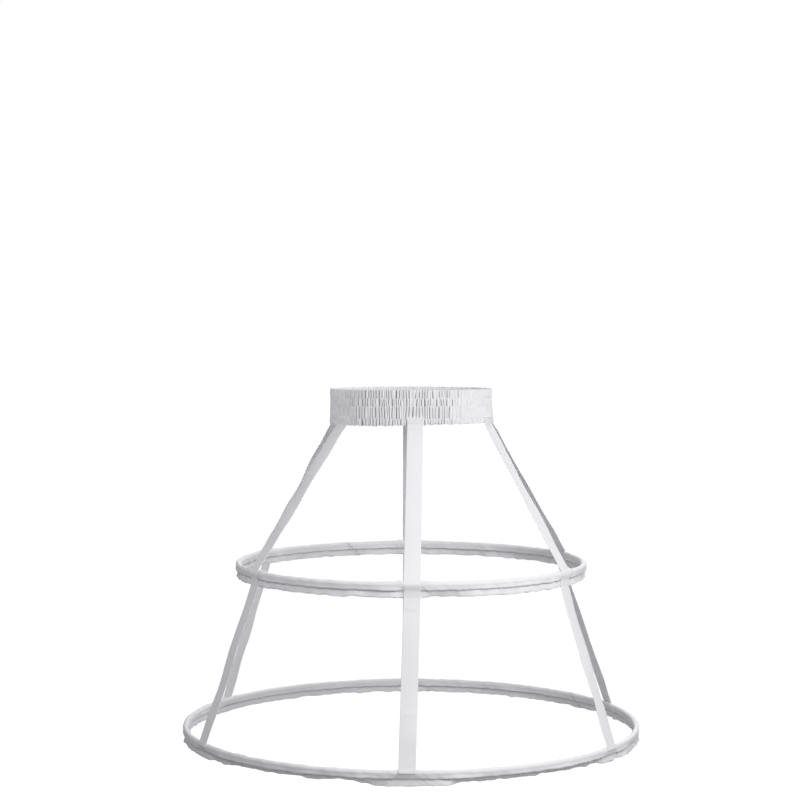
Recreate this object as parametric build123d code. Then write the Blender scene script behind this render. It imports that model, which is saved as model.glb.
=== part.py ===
"""A crinoline cage: a gathered waistband, six tapes and two boned hoops in folded cloth casings.

The origin is the middle of the waistband, +Z is up and the front faces -Y. Millimetres.
"""

from build123d import *
from math import acos, atan2, cos, hypot, pi, radians, sin
import os

# Waistband, a cloth band that a wide elastic stitched to its inside draws up in gathers
WAIST_WIDTH = 232.0
WAIST_DEPTH = 176.0
WAIST_HEIGHT = 48.0
WAIST_CLOTH = 0.9
GATHER_RISE = 2.2
GATHER_COUNT = 124
ELASTIC_HEIGHT = 40.0
ELASTIC_THICKNESS = 1.5
ELASTIC_TOP_MARGIN = 2.5
ELASTIC_RUNS = 72

# Heights up the waistband, and how full the gathers are at each: the hem, the hem's stitch row,
# the belly, the upper stitch row and the top
GATHER_HEIGHT_SHARES = (0.0, 0.16, 0.46, 0.75, 1.0)
GATHER_FULLNESS_SHARES = (0.95, 0.55, 1.0, 0.5, 0.85)
GATHER_UNEVEN_SHARE = 0.45
GATHER_LEAN_SHARE = 0.3

# Hoops: outside diameter, and drop from the middle of the waistband to the middle of the bone
UPPER_HOOP_DIAMETER = 501.0
UPPER_HOOP_DROP = 225.9
LOWER_HOOP_DIAMETER = 652.0
LOWER_HOOP_DROP = 456.4

# Bone, the flat steel strip in each hoop, and the sleeve that joins its two ends
BONE_THICKNESS = 1.6
BONE_HEIGHT = 3.8
BONE_END_GAP = 1.0
SLEEVE_WALL = 0.4
SLEEVE_GAP = 0.1
SLEEVE_LENGTH = 28.0
SLEEVE_AZIMUTH = 150.0

# Casing, a straight strip of cloth folded over the bone and eased round the hoop in short flat runs.
# Its two layers are stitched together below the bone, and hang side by side from there to the hem.
CASING_CLOTH = 0.7
CASING_RUNS = 64
CASING_ROUND_CHORDS = 5
STITCH_DROP = 5.6
HEM_HEIGHT = 8.8
LAYER_GAP = 0.3

# Tapes, flat ribbons on the outside of the waistband and of both hoops
TAPE_WIDTH = 22.0
TAPE_THICKNESS = 0.9
TAPE_WAIST_LAP = 9.0
TAPE_WRAP_STEP = 30.0

# Clearance between pieces that lie on each other
FIT_GAP = 0.3

# Where each tape crosses the waistband, the upper hoop and the lower hoop, in degrees from the front
TAPE_AZIMUTHS = {
    "tape_front": (3.5, 0.0, -1.2),
    "tape_front_right": (74.0, 57.5, 55.5),
    "tape_back_right": (103.0, 115.0, 114.0),
    "tape_back": (180.0, 180.0, 180.0),
    "tape_back_left": (-104.0, -119.5, -121.0),
    "tape_front_left": (-64.0, -60.0, -60.5),
}

UP = Vector(0, 0, 1)
GOLDEN_ANGLE = pi * (3 - 5**0.5)
FLATNESS_SHARE = 1e-6


def uneven(index, phase):
    """A steady but irregular number from -1 to 1 for one copy of a pattern."""
    return sin(index * GOLDEN_ANGLE + phase)


def outward(azimuth):
    """The level direction that points away from the axis at an azimuth from the front."""
    return Vector(sin(radians(azimuth)), -cos(radians(azimuth)), 0)


def mitre(before, here, after, side):
    """The offset direction at a corner, long enough to keep a strip one unit thick.

    Args:
        before: The point before the corner.
        here: The corner.
        after: The point after the corner.
        side: The direction across the strip, at right angles to its thickness.

    Returns:
        The vector from the corner to the same corner of a strip one unit away.
    """
    runs = []
    for run in (here - before, after - here):
        flat = run - side * run.dot(side)
        if flat.length > 0:
            runs.append(flat.normalized())
    along = (runs[0] + runs[-1]).normalized()
    return along.cross(side).normalized() / along.dot(runs[0])


def offset_points(points, sides, distance):
    """The corners of a path moved sideways, with mitred corners.

    Args:
        points: The corners of the path.
        sides: The direction across the strip at each corner.
        distance: How far to move the path.

    Returns:
        The moved corners, in the same order.
    """
    ends = [points[0], *points, points[-1]]
    moved = []
    for index, point in enumerate(points):
        step = mitre(ends[index], point, ends[index + 2], sides[index])
        moved.append(point + step * distance)
    return moved


def flat_facets(near, near_next, far_next, far):
    """The flat facets of one cell of a net: one where its corners lie in a plane, otherwise two."""
    normal = (near_next - near).cross(far_next - near).normalized()
    if abs(normal.dot(far - near)) < FLATNESS_SHARE * (far - near).length:
        outlines = [[near, near_next, far_next, far]]
    else:
        outlines = [[near, near_next, far_next], [near, far_next, far]]
    return [Face(Wire.make_polygon(outline)) for outline in outlines]


def cloth_ring(net):
    """A ring of cloth in flat facets between the points of a net.

    Args:
        net: Rows of points. The rows, and the points in each row, go round and close.

    Returns:
        The closed solid.
    """
    facets = []
    for row, next_row in zip(net, net[1:] + net[:1]):
        corners = zip(row, row[1:] + row[:1], next_row[1:] + next_row[:1], next_row)
        for cell in corners:
            facets += flat_facets(*cell)
    return Solid(Shell(facets))


# Waistband layers, from the crests of the gathers inwards, as half widths and half depths
CREST = (WAIST_WIDTH / 2, WAIST_DEPTH / 2)
VALLEY = tuple(half - GATHER_RISE for half in CREST)
BAND_INSIDE = tuple(half - WAIST_CLOTH for half in VALLEY)
ELASTIC_OUTSIDE = tuple(half - FIT_GAP for half in BAND_INSIDE)
ELASTIC_INSIDE = tuple(half - ELASTIC_THICKNESS for half in ELASTIC_OUTSIDE)
WAIST_TOP = WAIST_HEIGHT / 2


def oval_point(halves, rise, angle, height):
    """A point on an oval about the axis, a little outside it by a rise."""
    return Vector((halves[0] + rise) * cos(angle), (halves[1] + rise) * sin(angle), height)


def oval_row(halves, height, angles):
    """Points round an oval at one height."""
    return [oval_point(halves, 0, angle, height) for angle in angles]


def gather_row(level):
    """The crests and valleys of the gathers at one height of the waistband.

    Args:
        level: The index of the height in GATHER_HEIGHT_SHARES.

    Returns:
        Points round the band, each crest after a valley.
    """
    height = WAIST_HEIGHT * GATHER_HEIGHT_SHARES[level] - WAIST_TOP
    row = []
    for index in range(2 * GATHER_COUNT):
        is_crest = index % 2
        fullness = 1 - GATHER_UNEVEN_SHARE * (1 + uneven(index, level)) / 2
        rise = GATHER_RISE * GATHER_FULLNESS_SHARES[level] * fullness * is_crest
        lean = GATHER_LEAN_SHARE * uneven(index, 2 * level)
        row.append(oval_point(VALLEY, rise, pi / GATHER_COUNT * (index + lean), height))
    return row


def waistband():
    """The gathered cloth band, with a smooth inside."""
    angles = [pi / GATHER_COUNT * index for index in range(2 * GATHER_COUNT)]
    inside = [oval_row(BAND_INSIDE, height, angles) for height in (WAIST_TOP, -WAIST_TOP)]
    gathers = [gather_row(level) for level in range(len(GATHER_HEIGHT_SHARES))]
    return cloth_ring(gathers + inside)


def waist_elastic():
    """The wide elastic on the inside of the waistband."""
    top = WAIST_TOP - ELASTIC_TOP_MARGIN
    bottom = top - ELASTIC_HEIGHT
    angles = [2 * pi / ELASTIC_RUNS * index for index in range(ELASTIC_RUNS)]
    outside = [oval_row(ELASTIC_OUTSIDE, height, angles) for height in (bottom, top)]
    inside = [oval_row(ELASTIC_INSIDE, height, angles) for height in (top, bottom)]
    return cloth_ring(outside + inside)


# Hoop section, in the XZ plane, with the middle of the bone at X = 0, Z = 0
SLEEVE_HALF_THICKNESS = BONE_THICKNESS / 2 + SLEEVE_GAP + SLEEVE_WALL
SLEEVE_HALF_HEIGHT = BONE_HEIGHT / 2 + SLEEVE_GAP + SLEEVE_WALL
RUN_TURN = pi / CASING_RUNS
RUN_BOW = max(UPPER_HOOP_DIAMETER, LOWER_HOOP_DIAMETER) / 2 * (1 - cos(RUN_TURN)) / 2
FOLD_RADIUS = hypot(SLEEVE_HALF_THICKNESS, SLEEVE_HALF_HEIGHT) + FIT_GAP + RUN_BOW
FOLD_SHOULDER = atan2(SLEEVE_HALF_HEIGHT, SLEEVE_HALF_THICKNESS)
TUBE_RADIUS = FOLD_RADIUS + CASING_CLOTH
STITCH_LINE = Vector(LAYER_GAP / 2, 0, -BONE_HEIGHT / 2 - STITCH_DROP)
FOLD_START = atan2(STITCH_LINE.Z, STITCH_LINE.X) + acos(FOLD_RADIUS / STITCH_LINE.length)


def round_point(radius, angle):
    """The point at an angle above the level on a round about the middle of the bone."""
    return Vector(radius * cos(angle), 0, radius * sin(angle))


def hem_layer():
    """One layer of the casing from the hem up to the round fold.

    Returns:
        The corners of its inside and of its outside: hem, stitch line, start of the fold.
    """
    inside = [STITCH_LINE - UP * HEM_HEIGHT, STITCH_LINE, round_point(FOLD_RADIUS, FOLD_START)]
    return inside, offset_points(inside, [Vector(0, -1, 0)] * len(inside), CASING_CLOTH)


def casing_section():
    """The outline of the folded strip: up one layer, over the bone, down the other, and back outside."""
    inside, outside = hem_layer()
    inside.append(round_point(FOLD_RADIUS, FOLD_SHOULDER))
    inside += [Vector(-point.X, 0, point.Z) for point in reversed(inside)]
    chord = (pi - 2 * FOLD_START) / CASING_ROUND_CHORDS
    fold = [round_point(TUBE_RADIUS, FOLD_START + chord * index) for index in range(1, CASING_ROUND_CHORDS)]
    other_side = [Vector(-point.X, 0, point.Z) for point in reversed(outside)]
    return inside + (outside + fold + other_side)[::-1]


def bone_radius(diameter):
    """The radius of the middle of the bone in a hoop of this outside diameter."""
    return diameter / 2 - max(point.X for point in casing_section())


def casing(diameter, drop):
    """The cloth casing of a hoop, open between the two layers of its hem."""
    middle = Vector(bone_radius(diameter), 0, -drop)
    ease = 2 / (1 + cos(RUN_TURN))
    net = []
    for index in range(CASING_RUNS):
        ray = outward(360 * (index + 0.5) / CASING_RUNS)
        section = [middle + point for point in casing_section()]
        net.append([ray * point.X * ease + UP * point.Z for point in section])
    return cloth_ring(net)


def spun(section, diameter, drop, start, turn):
    """A section of a bone or sleeve turned about the vertical axis.

    Args:
        section: The section, drawn flat about the middle of the bone.
        diameter: The hoop's outside diameter.
        drop: The bone's depth below the middle of the waistband.
        start: Where the turn starts, in degrees from the front.
        turn: The angle turned, in degrees.

    Returns:
        The arc of a ring.
    """
    placed = Pos(bone_radius(diameter), 0, -drop) * (Plane.XZ * section)
    return Rot(0, 0, start - 90) * revolve(placed, Axis.Z, revolution_arc=turn)


def bone(diameter, drop):
    """The steel strip of a hoop, with a small gap between its two ends."""
    gap = BONE_END_GAP / bone_radius(diameter) * 180 / pi
    return spun(Rectangle(BONE_THICKNESS, BONE_HEIGHT), diameter, drop, SLEEVE_AZIMUTH + gap / 2, 360 - gap)


def sleeve(diameter, drop):
    """The short flat tube that joins the two ends of a bone."""
    turn = SLEEVE_LENGTH / bone_radius(diameter) * 180 / pi
    outside = Rectangle(2 * SLEEVE_HALF_THICKNESS, 2 * SLEEVE_HALF_HEIGHT)
    bore = Rectangle(BONE_THICKNESS + 2 * SLEEVE_GAP, BONE_HEIGHT + 2 * SLEEVE_GAP)
    return spun(outside - bore, diameter, drop, SLEEVE_AZIMUTH - turn / 2, turn)


def waist_seat(azimuth):
    """Where a tape lies on the waistband.

    Args:
        azimuth: The place round the waistband, in degrees from the front.

    Returns:
        The seat's points, from the tape's upper end to the hem, and the direction across the tape.
    """
    ray = outward(azimuth)
    touch = ray / hypot(ray.X / CREST[0], ray.Y / CREST[1])
    normal = Vector(touch.X / CREST[0] ** 2, touch.Y / CREST[1] ** 2, 0).normalized()
    hem = touch - UP * WAIST_TOP
    return [hem + UP * TAPE_WAIST_LAP, hem], UP.cross(normal)


def hoop_seat(azimuth, diameter, drop, corners):
    """Where a tape lies on a hoop's casing.

    Args:
        azimuth: The place round the hoop, in degrees from the front.
        diameter: The hoop's outside diameter.
        drop: The bone's depth below the middle of the waistband.
        corners: The casing's corners that the tape lies on, from the top down.

    Returns:
        The seat's points and the direction across the tape.
    """
    ray = outward(azimuth)
    middle = ray * (bone_radius(diameter) + RUN_BOW) - UP * drop
    return [middle + ray * corner.X + UP * corner.Z for corner in corners], UP.cross(ray)


def wrap_corners(count):
    """Corners just outside the round of a casing, from its upper shoulder down.

    Args:
        count: How many corners the tape has there. The third is where the round ends.

    Returns:
        The corners.
    """
    step = radians(TAPE_WRAP_STEP)
    radius = TUBE_RADIUS / cos(step / 2)
    return [round_point(radius, FOLD_START + step * (2 - index)) for index in range(count)]


def tape(waist_azimuth, upper_azimuth, lower_azimuth):
    """A tape from the waistband, over the upper hoop and its hem, to the lower hoop."""
    hem, groove, _ = hem_layer()[1]
    over_hoop = [*wrap_corners(3), groove, hem]
    onto_hoop = wrap_corners(2)
    seats = [
        waist_seat(waist_azimuth),
        hoop_seat(upper_azimuth, UPPER_HOOP_DIAMETER, UPPER_HOOP_DROP, over_hoop),
        hoop_seat(lower_azimuth, LOWER_HOOP_DIAMETER, LOWER_HOOP_DROP, onto_hoop),
    ]
    points = [point for seat, _ in seats for point in seat]
    sides = [side for seat, side in seats for _ in seat]
    inner = offset_points(points, sides, FIT_GAP)
    outer = offset_points(points, sides, FIT_GAP + TAPE_THICKNESS)
    sections = []
    for near, far, side in zip(inner, outer, sides):
        half = side * TAPE_WIDTH / 2
        sections.append(make_face(Polyline(near - half, near + half, far + half, far - half, close=True)))
    return loft(sections, ruled=True)


def build():
    """Every piece of the cage, by name."""
    pieces = {"waistband": waistband(), "waist_elastic": waist_elastic()}
    for name, azimuths in TAPE_AZIMUTHS.items():
        pieces[name] = tape(*azimuths)
    hoops = {
        "upper_hoop": (UPPER_HOOP_DIAMETER, UPPER_HOOP_DROP),
        "lower_hoop": (LOWER_HOOP_DIAMETER, LOWER_HOOP_DROP),
    }
    for name, sizes in hoops.items():
        pieces[name + "_casing"] = casing(*sizes)
        pieces[name + "_bone"] = bone(*sizes)
        pieces[name + "_sleeve"] = sleeve(*sizes)
    return pieces


os.makedirs("parts", exist_ok=True)
for piece_name, piece in build().items():
    export_step(piece, f"parts/{piece_name}.step")
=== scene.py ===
"""The look of a crinoline cage: a gathered waistband, ribbon tapes and two boned hoops in cloth casings.

Lengths are metres. Azimuths are degrees from the front of the cage, growing towards +X.
"""

import logging
import math
from dataclasses import dataclass, field
from enum import Enum

import bpy
import numpy as np
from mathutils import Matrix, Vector


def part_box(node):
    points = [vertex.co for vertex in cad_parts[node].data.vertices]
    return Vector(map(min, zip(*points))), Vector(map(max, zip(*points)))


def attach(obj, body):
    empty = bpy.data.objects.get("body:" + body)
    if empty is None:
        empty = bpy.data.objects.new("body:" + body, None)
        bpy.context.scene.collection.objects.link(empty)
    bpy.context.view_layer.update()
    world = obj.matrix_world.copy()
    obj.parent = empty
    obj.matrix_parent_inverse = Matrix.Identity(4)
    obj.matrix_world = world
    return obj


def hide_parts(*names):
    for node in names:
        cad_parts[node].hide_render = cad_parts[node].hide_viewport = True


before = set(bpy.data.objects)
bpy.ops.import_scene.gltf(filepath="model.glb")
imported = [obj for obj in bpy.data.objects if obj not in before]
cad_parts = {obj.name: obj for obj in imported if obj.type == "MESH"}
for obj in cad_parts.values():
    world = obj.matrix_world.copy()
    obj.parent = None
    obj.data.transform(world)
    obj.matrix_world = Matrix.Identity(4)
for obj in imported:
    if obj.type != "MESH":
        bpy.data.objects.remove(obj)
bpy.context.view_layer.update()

LOG = logging.getLogger("crinoline_cage")
MM = 0.001
TAU = 2 * math.pi
UP = np.array([0.0, 0.0, 1.0])
BODY = "root"
WEAVE_MAP = "weave"
PAINTED_SHADE = "painted_shade"

BAND_FLAT = (0.052, 0.95)
ELASTIC_FLAT = (0.04, 0.62)
THREAD_LIFT = 0.12 * MM

Array = np.ndarray
Colour = tuple[float, float, float]
Material = bpy.types.Material
Piece = bpy.types.Object
Place = tuple[float, float, float]
Socket = bpy.types.NodeSocket
Span = tuple[float, float]
Table = tuple[tuple[float, float], ...]
Triple = tuple[float, float, float]


class Slot(str, Enum):
    """The finishes that the record names."""

    COTTON = "white_cotton"
    RIBBON = "white_ribbon"
    ELASTIC = "white_elastic"
    JACKET = "jacketed_steel"
    SLEEVE = "sleeve_steel"


class Weave(Enum):
    """How the threads of a cloth lie."""

    PLAIN = "plain"
    TWILL = "twill"


class Held(str, Enum):
    """What keeps a sheet of cloth in its shape."""

    GATHERED = "gathered"
    FOLDED = "folded"
    STRETCHED = "stretched"


def smooth(low: float, high: float, value: Array) -> Array:
    """A soft step from 0 at low to 1 at high.

    Args:
        low: Where the step starts.
        high: Where the step ends. It may lie below low.
        value: Where to read the step.

    Returns:
        The height of the step at each value.
    """
    share = np.clip((np.asarray(value) - low) / (high - low), 0, 1)
    return share * share * (3 - 2 * share)


def bell(distance: Array, width: float) -> Array:
    """A soft bump of height 1, as wide each way as its width."""
    return np.exp(-((distance / width) ** 2))


def unit(vectors: Array) -> Array:
    """The vectors of an array, each with length 1."""
    return vectors / np.linalg.norm(vectors, axis=-1, keepdims=True)


def rays(azimuth: Array) -> Array:
    """Level directions away from the axis at azimuths in radians."""
    return np.stack([np.sin(azimuth), -np.cos(azimuth), np.zeros_like(azimuth)], -1)


def turn_apart(azimuth: Array, other: float) -> Array:
    """How far azimuths are from another one, in degrees from -180 to 180."""
    return (azimuth - other + 180) % 360 - 180


def read_round(table: Table, azimuth: Array) -> Array:
    """Reads a table of azimuths and values all round the cage."""
    return np.interp(azimuth, *zip(*table), period=360)


def nearest(values: Array, value: float) -> int:
    """The place of the value that is nearest to another one."""
    return int(np.argmin(np.abs(values - value)))


def travelled(points: Array) -> Array:
    """How far along a line each of its points is."""
    return np.concatenate([[0], np.cumsum(np.linalg.norm(np.diff(points, axis=0), axis=1))])


def girth(net: Array) -> Array:
    """How far round a net each row is on average, and at the end the whole way round."""
    steps = np.linalg.norm(np.diff(np.concatenate([net, net[:1]]), axis=0), axis=2).mean(1)
    return np.concatenate([[0], np.cumsum(steps)])


def softened(points: Array, spread: float) -> Array:
    """A line with its corners smoothed and its two ends kept.

    Args:
        points: The line's points, evenly spaced along the first axis.
        spread: How far the smoothing reaches, in points.

    Returns:
        The smoothed points.
    """
    reach = int(4 * spread) + 1
    before = 2 * points[:1] - points[reach:0:-1]
    after = 2 * points[-1:] - points[-2 : -reach - 2 : -1]
    padded = np.concatenate([before, points, after])
    weights = bell(np.arange(-reach, reach + 1), spread * math.sqrt(2))
    weights /= weights.sum()
    return sum(weight * padded[step : step + len(points)] for step, weight in enumerate(weights))


@dataclass(frozen=True)
class Ripple:
    """An irregular wave round a ring: a seeded sum of sines.

    Attributes:
        seed: Picks the wave.
        lowest: The fewest waves in a turn.
        highest: The most waves in a turn.
        height: About how high the wave is.
    """

    seed: int
    lowest: int
    highest: int
    height: float = 1.0

    def at(self, turn: Array, zone: int = 0) -> Array:
        """Reads the wave.

        Args:
            turn: Shares of a turn.
            zone: Picks another form of the wave.

        Returns:
            The height of the wave at each share.
        """
        rng = np.random.default_rng(self.seed + zone)
        total = np.zeros_like(turn, dtype=float)
        power = 0.0
        for order in range(self.lowest, self.highest + 1):
            height = rng.normal()
            phase = rng.uniform(0, TAU)
            total += height * np.sin(TAU * order * turn + phase)
            power += height * height / 2
        return self.height * (total / math.sqrt(power))


class Nodes:
    """A node tree, with short ways to add and link nodes."""

    def __init__(self, tree: bpy.types.NodeTree) -> None:
        """Takes up a tree."""
        self.tree = tree

    def node(self, kind: str, links: dict[str, object] | None = None, **settings: object) -> bpy.types.Node:
        """Adds a node.

        Args:
            kind: The node's type.
            links: A value or an output for each input, by the input's name or number.
            settings: The node's properties.

        Returns:
            The node.
        """
        made = self.tree.nodes.new(kind)
        for key, value in settings.items():
            setattr(made, key, value)
        for key, value in (links or {}).items():
            socket = made.inputs[int(key)] if key.isdigit() else made.inputs[key]
            if isinstance(value, Socket):
                self.tree.links.new(value, socket)
            else:
                socket.default_value = value
        return made

    def math(self, operation: str, *values: object) -> Socket:
        """Adds a Math node and returns its output."""
        links = {str(index): value for index, value in enumerate(values)}
        return self.node("ShaderNodeMath", links, operation=operation).outputs[0]


class Shading(Nodes):
    """A material's nodes round a Principled shader."""

    def __init__(self, name: str, inputs: dict[str, float]) -> None:
        """Starts a material.

        Args:
            name: The material's name.
            inputs: Values for inputs of its shader.
        """
        self.material = bpy.data.materials.new(name)
        self.material.use_nodes = True
        super().__init__(self.material.node_tree)
        self.shader = self.tree.nodes["Principled BSDF"].inputs
        for key, value in inputs.items():
            self.shader[key].default_value = value

    def noise(self, scale: float, detail: float) -> Socket:
        """Adds noise that is fixed to the piece.

        Args:
            scale: How fine the noise is.
            detail: How much finer noise is laid over it.

        Returns:
            The noise, from 0 to 1.
        """
        place = self.node("ShaderNodeTexCoord").outputs["Object"]
        links = {"Vector": place, "Scale": scale, "Detail": detail}
        return self.node("ShaderNodeTexNoise", links).outputs["Fac"]

    def mixed(self, low: object, high: object, share: Socket) -> Socket:
        """Adds a mix of colours.

        Args:
            low: The colour, or an output with it, where the share is 0.
            high: The colour, or an output with it, where the share is 1.
            share: The share of the second colour.

        Returns:
            The mixed colour.
        """
        mix = self.node("ShaderNodeMix", {"Factor": share}, data_type="RGBA")
        ends = [socket for socket in mix.inputs if socket.type == "RGBA"]
        for socket, colour in zip(ends, (low, high)):
            if isinstance(colour, tuple):
                socket.default_value = (*colour, 1)
            else:
                self.tree.links.new(colour, socket)
        return next(socket for socket in mix.outputs if socket.type == "RGBA")

    def colour(self, source: Socket) -> None:
        """Colours the shader."""
        self.tree.links.new(source, self.shader["Base Color"])

    def bumps(self, height: Socket, depth: float, strength: float) -> None:
        """Gives the shader a relief that is depth metres high."""
        made = self.node("ShaderNodeBump", {"Strength": strength, "Distance": depth, "Height": height})
        self.tree.links.new(made.outputs["Normal"], self.shader["Normal"])

    def roughness(self, span: Span, share: Socket) -> None:
        """Varies the shader's roughness between two values."""
        made = self.node("ShaderNodeMapRange", {"To Min": span[0], "To Max": span[1], "Value": share})
        self.tree.links.new(made.outputs["Result"], self.shader["Roughness"])


@dataclass(frozen=True)
class ClothFinish:
    """A white cloth whose threads follow the piece's own map.

    Attributes:
        name: The material's name.
        hollow: The colour between the threads.
        crown: The colour on the threads.
        crease: The colour of the painted shade in folds and grooves, where a piece marks it.
        weave: How the threads lie.
        pitch: The spacing of the threads.
        relief: The height of the threads.
        rough: The least and the most roughness.
        sheen: The weight of the cloth's soft sheen.
        slub: The scale and detail of the threads' unevenness, and its share in their height.
        cloud: The scale and detail of soft blotches, and their share in the colour.
        thread_tone: The threads' share in the colour.
        strength: How strongly the relief shows.
        sheen_rough: The roughness of the sheen.
        specular: The strength of the cloth's gloss.
    """

    name: str
    hollow: Colour
    crown: Colour
    crease: Colour
    weave: Weave
    pitch: float
    relief: float
    rough: Span
    sheen: float
    slub: Triple = (650.0, 3.0, 0.5)
    cloud: Triple = (22.0, 2.0, 0.5)
    thread_tone: float = 0.45
    strength: float = 0.5
    sheen_rough: float = 0.5
    specular: float = 0.25

    def threads(self, shading: Shading) -> Socket:
        """Adds nodes that weave the threads.

        Args:
            shading: The material's nodes.

        Returns:
            The height of the threads, from 0 to 1.
        """
        place = shading.node("ShaderNodeUVMap", uv_map=WEAVE_MAP).outputs["UV"]
        apart = shading.node("ShaderNodeSeparateXYZ", {"0": place}).outputs
        along, across = (shading.math("MULTIPLY", apart[axis], math.pi / self.pitch) for axis in (0, 1))
        if self.weave is Weave.PLAIN:
            wave = shading.math("MULTIPLY", shading.math("SINE", along), shading.math("SINE", across))
        else:
            slant = shading.math("ADD", along, across)
            wave = shading.math("SINE", shading.math("MULTIPLY", slant, 2.0))
        return shading.math("MULTIPLY_ADD", wave, 0.5, 0.5)

    def material(self) -> Material:
        """Makes the material.

        Returns:
            The material.
        """
        inputs = {
            "Sheen Weight": self.sheen,
            "Sheen Roughness": self.sheen_rough,
            "Specular IOR Level": self.specular,
        }
        shading = Shading(self.name, inputs)
        threads = self.threads(shading)
        slub = shading.noise(*self.slub[:2])
        cloud = shading.noise(*self.cloud[:2])
        height = shading.math("MULTIPLY_ADD", slub, self.slub[2], threads)
        thread_tone = shading.math("MULTIPLY", height, self.thread_tone)
        tone = shading.math("MULTIPLY_ADD", cloud, self.cloud[2], thread_tone)
        # Painted shade: the colour darkens where the piece's attribute marks shade in folds and grooves.
        painted_shade = shading.node("ShaderNodeAttribute", attribute_name=PAINTED_SHADE).outputs["Fac"]
        shading.colour(shading.mixed(shading.mixed(self.hollow, self.crown, tone), self.crease, painted_shade))
        shading.roughness(self.rough, cloud)
        shading.bumps(height, self.relief, self.strength)
        return shading.material


@dataclass(frozen=True)
class GrainFinish:
    """A surface with a fine grain: thread, moulded plastic or scratched metal.

    Attributes:
        name: The material's name.
        dark: The colour in the grain's hollows.
        light: The colour on the grain.
        grain: The scale and the detail of the grain.
        rough: The least and the most roughness.
        relief: The height of the grain, and how strongly it shows.
        metallic: 1 for bare metal.
        sheen: The weight of a soft sheen.
    """

    name: str
    dark: Colour
    light: Colour
    grain: Span
    rough: Span
    relief: Span
    metallic: float = 0.0
    sheen: float = 0.0

    def material(self) -> Material:
        """Makes the material.

        Returns:
            The material.
        """
        shading = Shading(self.name, {"Metallic": self.metallic, "Sheen Weight": self.sheen})
        grain = shading.noise(*self.grain)
        shading.colour(shading.mixed(self.dark, self.light, grain))
        shading.roughness(self.rough, grain)
        shading.bumps(grain, *self.relief)
        return shading.material


COTTON = ClothFinish(
    name="white_cotton_cloth",
    hollow=(0.87, 0.87, 0.895),
    crown=(0.93, 0.93, 0.955),
    crease=(0.36, 0.36, 0.39),
    weave=Weave.PLAIN,
    pitch=0.6 * MM,
    relief=0.03 * MM,
    rough=(0.78, 0.92),
    sheen=0.15,
)
RIBBON = ClothFinish(
    name="white_ribbon_cloth",
    hollow=(0.87, 0.87, 0.895),
    crown=(0.905, 0.905, 0.935),
    crease=(0.7, 0.7, 0.72),
    weave=Weave.TWILL,
    pitch=0.8 * MM,
    relief=0.004 * MM,
    rough=(0.55, 0.7),
    sheen=0.1,
)
ELASTIC = ClothFinish(
    name="white_elastic_cloth",
    hollow=(0.78, 0.78, 0.8),
    crown=(0.9, 0.9, 0.92),
    crease=(0.6, 0.6, 0.62),
    weave=Weave.PLAIN,
    pitch=0.9 * MM,
    relief=0.1 * MM,
    rough=(0.7, 0.9),
    sheen=0.1,
)
THREAD = GrainFinish(
    name="white_thread",
    dark=(0.8, 0.8, 0.83),
    light=(0.95, 0.95, 0.97),
    grain=(2500.0, 2.0),
    rough=(0.5, 0.75),
    relief=(0.05 * MM, 0.4),
    sheen=0.15,
)
JACKET = GrainFinish(
    name="white_bone_jacket",
    dark=(0.82, 0.82, 0.82),
    light=(0.92, 0.92, 0.92),
    grain=(900.0, 4.0),
    rough=(0.3, 0.45),
    relief=(0.03 * MM, 0.3),
)
SLEEVE = GrainFinish(
    name="plain_sleeve_steel",
    dark=(0.5, 0.5, 0.52),
    light=(0.68, 0.68, 0.69),
    grain=(1600.0, 4.0),
    rough=(0.25, 0.5),
    relief=(0.03 * MM, 0.3),
    metallic=1.0,
)


class Wardrobe:
    """The finished materials, each made once."""

    def __init__(self) -> None:
        """Makes every material."""
        self.cotton = COTTON.material()
        self.ribbon = RIBBON.material()
        self.elastic = ELASTIC.material()
        self.thread = THREAD.material()
        self.jacket = JACKET.material()
        self.sleeve = SLEEVE.material()


def cloth_piece(name: str, points: Array, along: Array, across: Array, painted_shade: Array | None = None) -> Piece:
    """A closed piece of cloth from a net of points.

    Args:
        name: The piece's name.
        points: Rows of points. The points of each row close.
        along: The cloth's length at each column, with one more for the join.
        across: The cloth's width at each row, with one more if the rows close too.
        painted_shade: How much painted shade each point has, from 0 to 1.

    Returns:
        The piece. Where the rows don't close, its two ends are closed.
    """
    rows, columns = points.shape[:2]
    row, column = np.meshgrid(np.arange(len(across) - 1), np.arange(columns), indexing="ij")
    corner_rows = np.stack([row, row, row + 1, row + 1], -1).reshape(-1, 4)
    corner_columns = np.stack([column, column + 1, column + 1, column], -1).reshape(-1, 4)
    quads = corner_rows % rows * columns + corner_columns % columns
    if len(across) == rows:
        step = np.arange(columns // 2 - 1)
        cap = np.stack([step, columns - 1 - step, columns - 2 - step, step + 1], -1)
        last = cap[:, ::-1]
        quads = np.concatenate([quads, cap, last + (rows - 1) * columns])
        corner_rows = np.concatenate([corner_rows, np.zeros_like(cap), np.full_like(cap, rows - 1)])
        corner_columns = np.concatenate([corner_columns, cap, last])
    flat = points.reshape(-1, 3)
    a, b, c, d = (flat[quads[:, corner]] for corner in range(4))
    volume = (a * np.cross(b, c)).sum() + (a * np.cross(c, d)).sum()
    if volume < 0:
        quads, corner_rows, corner_columns = (x[:, ::-1] for x in (quads, corner_rows, corner_columns))
    mesh = bpy.data.meshes.new(name)
    mesh.from_pydata(flat.tolist(), [], quads.tolist())
    places = np.stack([along[corner_columns], across[corner_rows]], -1)
    layer = mesh.uv_layers.new(name=WEAVE_MAP)
    layer.uv.foreach_set("vector", places.astype(np.float32).ravel())
    # Painted shade: stored on the mesh for the material to darken the colour.
    if painted_shade is not None:
        depth = mesh.attributes.new(PAINTED_SHADE, "FLOAT", "POINT")
        depth.data.foreach_set("value", painted_shade.astype(np.float32).ravel())
    mesh.shade_smooth()
    piece = bpy.data.objects.new(name, mesh)
    bpy.context.scene.collection.objects.link(piece)
    return piece


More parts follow.
